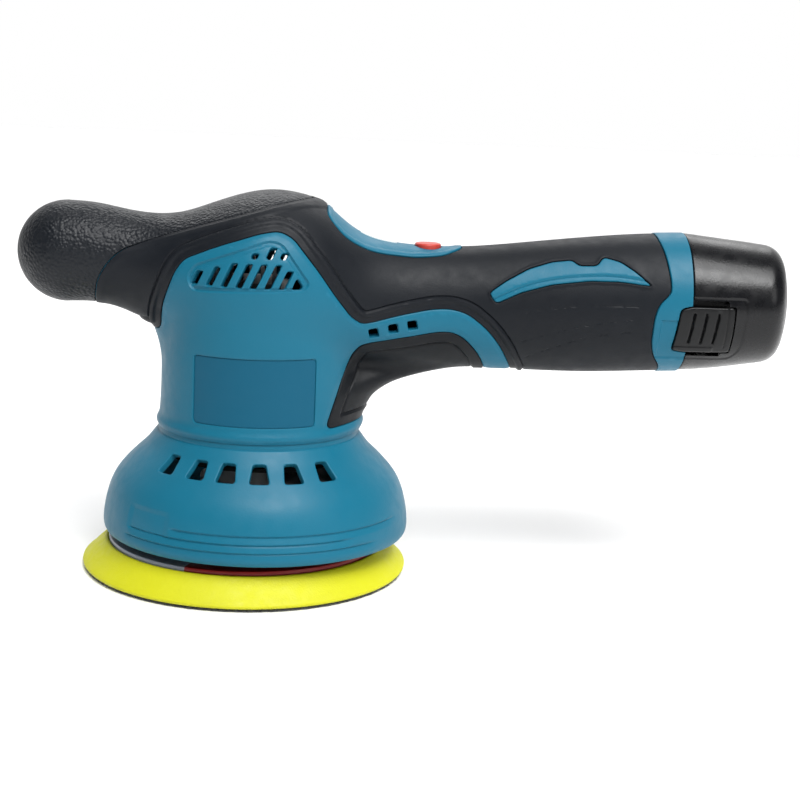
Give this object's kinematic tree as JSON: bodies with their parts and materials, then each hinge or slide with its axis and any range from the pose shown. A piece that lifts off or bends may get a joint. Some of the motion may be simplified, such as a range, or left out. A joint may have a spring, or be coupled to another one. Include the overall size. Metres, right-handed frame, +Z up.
{
  "type": "dual action polisher",
  "caption": "Cordless dual action polisher with a palm knob, teal and black body, flared bell, slide-on battery and a round yellow hook backing pad.",
  "frame": {"origin": "centre of the round pad's flat hook face, which is the working face", "axes": "+Z up through the head along the motor shaft, +X towards the battery at the rear of the handle, +Y to the tool's right-hand side"},
  "size_m": [0.2915, 0.125, 0.1452],
  "materials": {
    "teal_plastic": "fine satin moulded grain",
    "label_plate": "smooth satin, blank",
    "soft_grip": "matte overmould, smooth and pebbled areas",
    "black_plastic": "fine matt moulded grain",
    "battery_black": "satin black",
    "latch_black": "matt",
    "button_red": "satin red",
    "lens": "frosted lens",
    "screw_steel": "blackened steel",
    "bearing_steel": "ground steel",
    "shaft_steel": "ground steel",
    "die_cast": "as cast",
    "counterweight_steel": "zinc plated",
    "lamination": "stacked sheets",
    "copper": "enamelled copper",
    "magnet": "nickel plated",
    "board_green": "solder mask",
    "component_black": "matt",
    "wire": "insulation",
    "contact_brass": "plated",
    "cell_wrap": "shrink wrap",
    "pad_foam": "moulded polyurethane, soft sheen",
    "hook_black": "hook fabric",
    "pad_print": "printed film, blank"
  },
  "bodies": {
    "housing": {"left_housing": "teal_plastic", "right_housing": "teal_plastic", "bell_shroud": "teal_plastic", "left_grip_inlay": "teal_plastic", "right_grip_inlay": "teal_plastic", "rear_collar": "teal_plastic", "control_panel": "teal_plastic", "left_label_plate": "label_plate", "right_label_plate": "label_plate", "left_grip": "soft_grip", "right_grip": "soft_grip", "palm_cover": "soft_grip", "left_arm_insert": "black_plastic", "right_arm_insert": "black_plastic", "housing_screws": "screw_steel", "bell_screws": "screw_steel", "motor_plate": "die_cast", "upper_bearing_bracket": "die_cast", "heat_sink": "die_cast", "lower_bearing_outer": "bearing_steel", "upper_bearing_outer": "bearing_steel", "stator_core": "lamination", "stator_coils": "copper", "speed_lens": "lens", "control_board": "board_green", "driver_board": "board_green", "power_switch": "component_black", "capacitors": "component_black", "battery_wires": "wire", "terminal_block": "component_black", "terminal_blades": "contact_brass"},
    "drive": {"motor_shaft": "shaft_steel", "rotor_core": "lamination", "rotor_magnets": "magnet", "lower_bearing_inner": "bearing_steel", "lower_bearing_balls": "bearing_steel", "upper_bearing_inner": "bearing_steel", "upper_bearing_balls": "bearing_steel", "cooling_fan": "black_plastic", "counterweight": "counterweight_steel", "eccentric_hub": "die_cast", "bearing_clip": "screw_steel", "spindle_bearing_outer": "bearing_steel"},
    "pad": {"pad_spindle": "shaft_steel", "spindle_screw": "screw_steel", "spindle_bearing_inner": "bearing_steel", "spindle_bearing_balls": "bearing_steel", "backing_plate": "black_plastic", "pad_bolt": "screw_steel", "foam_pad": "pad_foam", "hook_face": "hook_black", "pad_label": "pad_print"},
    "power_button": {"power_button": "button_red"},
    "battery": {"battery_shell": "battery_black", "battery_stem": "battery_black", "battery_cells": "cell_wrap"},
    "left_latch": {"left_latch": "latch_black"},
    "right_latch": {"right_latch": "latch_black"}
  },
  "joints": [
    {"name": "drive_spin", "type": "hinge", "parent": "housing", "child": "drive", "pos_m": [0.004, 0, 0], "axis": [0, 0, 1], "continuous": true},
    {"name": "pad_spin", "type": "hinge", "parent": "drive", "child": "pad", "pos_m": [0, 0, 0], "axis": [0, 0, 1], "continuous": true},
    {"name": "power_press", "type": "slide", "parent": "housing", "child": "power_button", "axis": [0, 0, -1], "range_m": [0, 0.0012], "stiffness_N_per_m": 1500, "springref_m": -0.0006},
    {"name": "battery_slide", "type": "slide", "parent": "housing", "child": "battery", "axis": [1, 0, 0], "range_m": [0, 0.06]},
    {"name": "left_latch_press", "type": "slide", "parent": "battery", "child": "left_latch", "axis": [0, 1, 0], "range_m": [0, 0.0022], "stiffness_N_per_m": 1500, "springref_m": -0.0006},
    {"name": "right_latch_press", "type": "slide", "parent": "battery", "child": "right_latch", "axis": [0, -1, 0], "range_m": [0, 0.0022], "stiffness_N_per_m": 1500, "springref_m": -0.0006}
  ]
}
